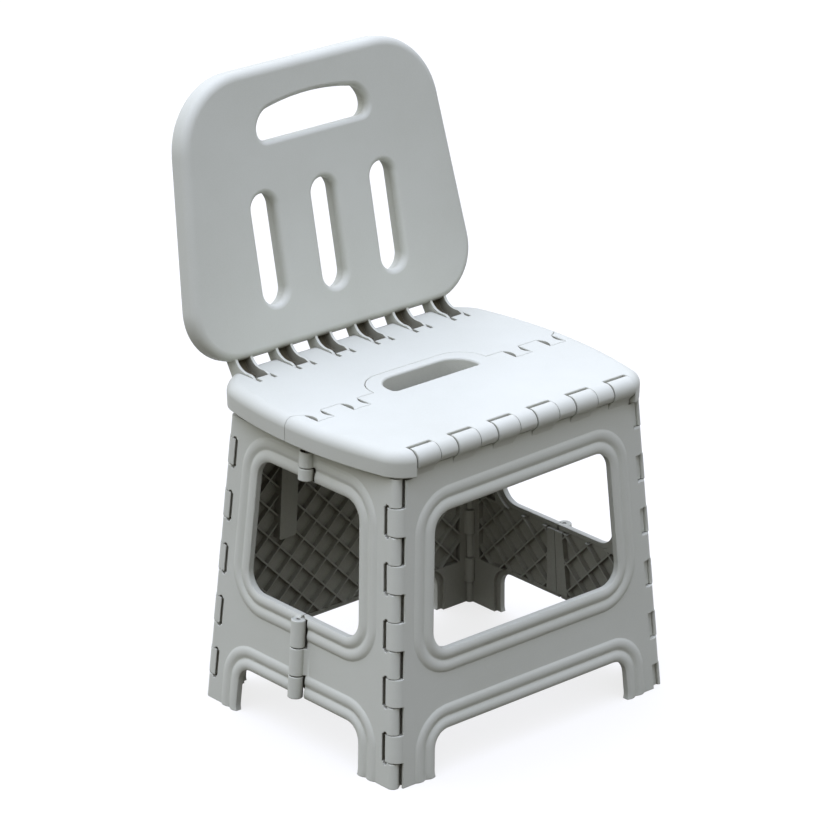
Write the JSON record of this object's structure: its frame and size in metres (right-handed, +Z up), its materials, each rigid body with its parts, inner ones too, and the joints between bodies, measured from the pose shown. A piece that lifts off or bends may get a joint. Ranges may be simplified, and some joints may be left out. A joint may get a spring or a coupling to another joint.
{
  "type": "folding step stool with backrest",
  "caption": "Folding plastic step stool with a hinged backrest; the seat splits and folds up at its centre while the side panels fold inwards",
  "frame": {"origin": "middle of the footprint on the floor, bounding-box bottom centre", "axes": "+Z up, -Y towards the front edge of the seat, +X to the sitter's left"},
  "size_m": [0.3148, 0.3011, 0.5124],
  "materials": {
    "shell": "satin light grey polypropylene",
    "pin": "plain grey"
  },
  "bodies": {
    "rear_leg": {"rear_leg": "shell", "rear_hinge_pin": "pin", "corner_pin_left_rear": "pin", "corner_pin_right_rear": "pin"},
    "seat_rear": {"seat_rear": "shell", "centre_pin_left": "pin", "centre_pin_right": "pin"},
    "seat_front": {"seat_front": "shell"},
    "front_leg": {"front_leg": "shell", "front_hinge_pin": "pin", "corner_pin_left_front": "pin", "corner_pin_right_front": "pin"},
    "side_left_rear": {"side_left_rear": "shell", "side_pin_left_low": "pin", "side_pin_left_high": "pin"},
    "side_left_front": {"side_left_front": "shell"},
    "side_right_rear": {"side_right_rear": "shell", "side_pin_right_low": "pin", "side_pin_right_high": "pin"},
    "side_right_front": {"side_right_front": "shell"},
    "backrest": {"backrest": "shell"}
  },
  "joints": [
    {"name": "fold", "type": "hinge", "parent": "rear_leg", "child": "seat_rear", "pos_m": [0, 0.0709, 0.2715], "axis": [-1, 0, 0], "range_deg": [0, 86.3]},
    {"name": "centre_hinge", "type": "hinge", "parent": "seat_rear", "child": "seat_front", "pos_m": [0, -0.0301, 0.255], "axis": [-1, 0, 0], "range_deg": [-180, 0]},
    {"name": "front_hinge", "type": "hinge", "parent": "seat_front", "child": "front_leg", "pos_m": [0, -0.1311, 0.2715], "axis": [-1, 0, 0], "range_deg": [0, 88]},
    {"name": "left_rear_corner", "type": "hinge", "parent": "rear_leg", "child": "side_left_rear", "pos_m": [-0.142, 0.0841, 0], "axis": [0.0676, -0.0642, 0.9956], "range_deg": [0, 91]},
    {"name": "left_front_corner", "type": "hinge", "parent": "front_leg", "child": "side_left_front", "pos_m": [-0.142, -0.1403, 0], "axis": [0.0676, 0.0642, 0.9956], "range_deg": [-91, 0]},
    {"name": "right_rear_corner", "type": "hinge", "parent": "rear_leg", "child": "side_right_rear", "pos_m": [0.142, 0.0841, 0], "axis": [-0.0676, -0.0642, 0.9956], "range_deg": [-91, 0]},
    {"name": "right_front_corner", "type": "hinge", "parent": "front_leg", "child": "side_right_front", "pos_m": [0.142, -0.1403, 0], "axis": [-0.0676, 0.0642, 0.9956], "range_deg": [0, 91]},
    {"name": "backrest_hinge", "type": "hinge", "parent": "seat_rear", "child": "backrest", "pos_m": [0, 0.0709, 0.2715], "axis": [1, 0, 0], "range_deg": [0, 102]}
  ],
  "couplings": [
    {"joint": "centre_hinge", "follows": "fold", "ratio": -2.081},
    {"joint": "front_hinge", "follows": "fold", "ratio": 1.0085},
    {"joint": "left_rear_corner", "follows": "fold", "ratio": 1.0495},
    {"joint": "left_front_corner", "follows": "fold", "ratio": -1.0495},
    {"joint": "right_rear_corner", "follows": "fold", "ratio": -1.0495},
    {"joint": "right_front_corner", "follows": "fold", "ratio": 1.0495}
  ]
}
